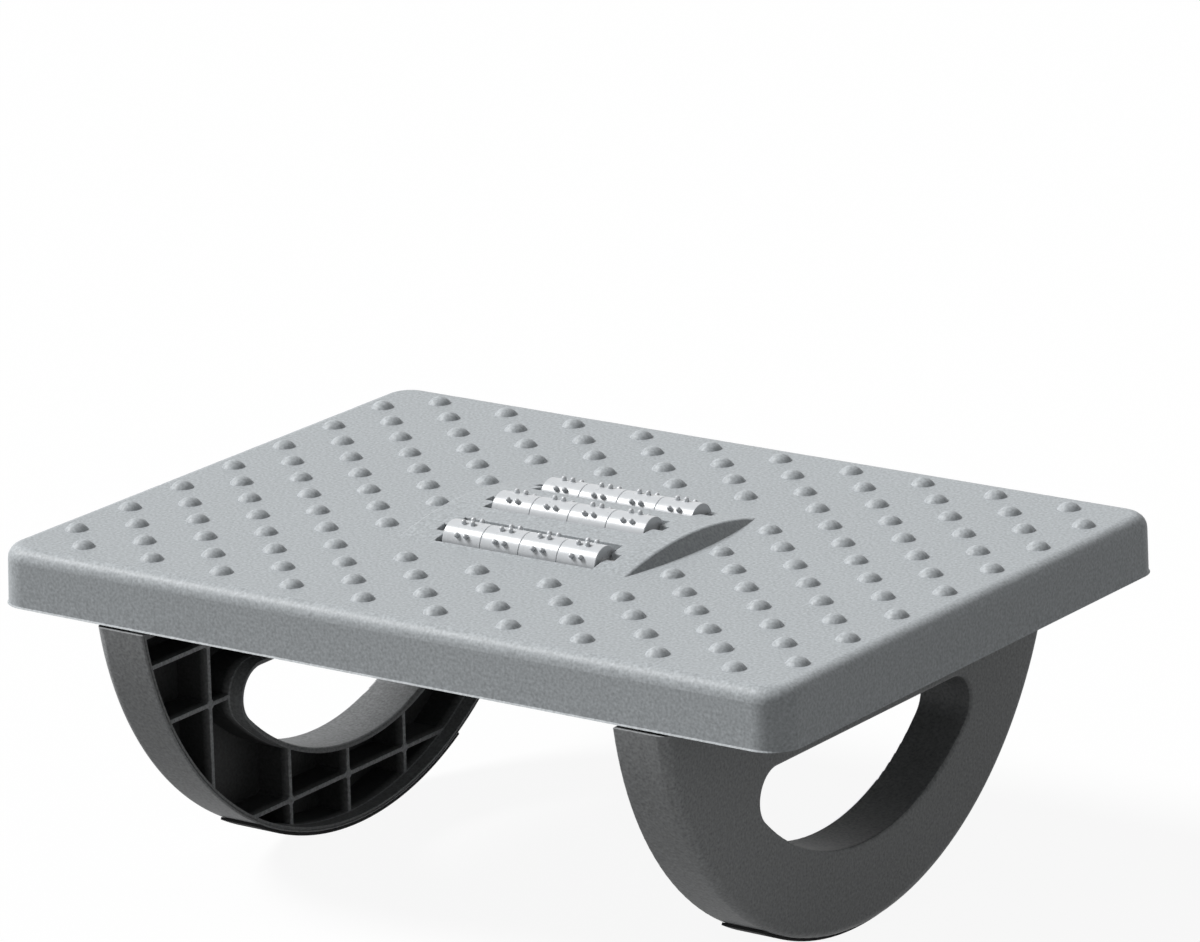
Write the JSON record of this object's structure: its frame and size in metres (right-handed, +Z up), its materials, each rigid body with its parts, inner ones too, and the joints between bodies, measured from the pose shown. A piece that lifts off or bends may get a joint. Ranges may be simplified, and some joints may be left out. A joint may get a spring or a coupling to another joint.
{
  "type": "footrest",
  "caption": "Rocking footrest with a domed massage deck, rows of small studded rollers in a raised centre and two curved rocker legs with D-shaped holes.",
  "frame": {"origin": "on the floor, under the middle of the deck, with the deck level", "axes": "+X along the deck's long side and along the roller axles, towards the right leg; +Y towards the back; +Z up"},
  "size_m": [0.4362, 0.3238, 0.1806],
  "materials": {
    "deck_plastic": "fine matt grain",
    "leg_plastic": "fine matt grain",
    "grip_rubber": "matt black rubber",
    "roller_plastic": "smooth, satin",
    "axle_steel": "drawn bright",
    "screw_steel": "zinc plated"
  },
  "bodies": {
    "frame": {"deck": "deck_plastic", "left_leg": "leg_plastic", "right_leg": "leg_plastic", "left_grip_strip": "grip_rubber", "right_grip_strip": "grip_rubber", "left_leg_screws": "screw_steel", "right_leg_screws": "screw_steel", "front_axle": "axle_steel", "middle_axle": "axle_steel", "rear_axle": "axle_steel"},
    "front_roller_1": {"front_roller_1": "roller_plastic"},
    "front_roller_2": {"front_roller_2": "roller_plastic"},
    "front_roller_3": {"front_roller_3": "roller_plastic"},
    "front_roller_4": {"front_roller_4": "roller_plastic"},
    "middle_roller_1": {"middle_roller_1": "roller_plastic"},
    "middle_roller_2": {"middle_roller_2": "roller_plastic"},
    "middle_roller_3": {"middle_roller_3": "roller_plastic"},
    "middle_roller_4": {"middle_roller_4": "roller_plastic"},
    "rear_roller_1": {"rear_roller_1": "roller_plastic"},
    "rear_roller_2": {"rear_roller_2": "roller_plastic"},
    "rear_roller_3": {"rear_roller_3": "roller_plastic"},
    "rear_roller_4": {"rear_roller_4": "roller_plastic"}
  },
  "joints": [
    {"name": "front_roller_1_spin", "type": "hinge", "parent": "frame", "child": "front_roller_1", "pos_m": [0, -0.039, 0.16518], "axis": [1, 0, 0], "continuous": true},
    {"name": "front_roller_2_spin", "type": "hinge", "parent": "frame", "child": "front_roller_2", "pos_m": [0, -0.039, 0.16518], "axis": [1, 0, 0], "continuous": true},
    {"name": "front_roller_3_spin", "type": "hinge", "parent": "frame", "child": "front_roller_3", "pos_m": [0, -0.039, 0.16518], "axis": [1, 0, 0], "continuous": true},
    {"name": "front_roller_4_spin", "type": "hinge", "parent": "frame", "child": "front_roller_4", "pos_m": [0, -0.039, 0.16518], "axis": [1, 0, 0], "continuous": true},
    {"name": "middle_roller_1_spin", "type": "hinge", "parent": "frame", "child": "middle_roller_1", "pos_m": [0, 0, 0.1688], "axis": [1, 0, 0], "continuous": true},
    {"name": "middle_roller_2_spin", "type": "hinge", "parent": "frame", "child": "middle_roller_2", "pos_m": [0, 0, 0.1688], "axis": [1, 0, 0], "continuous": true},
    {"name": "middle_roller_3_spin", "type": "hinge", "parent": "frame", "child": "middle_roller_3", "pos_m": [0, 0, 0.1688], "axis": [1, 0, 0], "continuous": true},
    {"name": "middle_roller_4_spin", "type": "hinge", "parent": "frame", "child": "middle_roller_4", "pos_m": [0, 0, 0.1688], "axis": [1, 0, 0], "continuous": true},
    {"name": "rear_roller_1_spin", "type": "hinge", "parent": "frame", "child": "rear_roller_1", "pos_m": [0, 0.039, 0.16518], "axis": [1, 0, 0], "continuous": true},
    {"name": "rear_roller_2_spin", "type": "hinge", "parent": "frame", "child": "rear_roller_2", "pos_m": [0, 0.039, 0.16518], "axis": [1, 0, 0], "continuous": true},
    {"name": "rear_roller_3_spin", "type": "hinge", "parent": "frame", "child": "rear_roller_3", "pos_m": [0, 0.039, 0.16518], "axis": [1, 0, 0], "continuous": true},
    {"name": "rear_roller_4_spin", "type": "hinge", "parent": "frame", "child": "rear_roller_4", "pos_m": [0, 0.039, 0.16518], "axis": [1, 0, 0], "continuous": true}
  ]
}
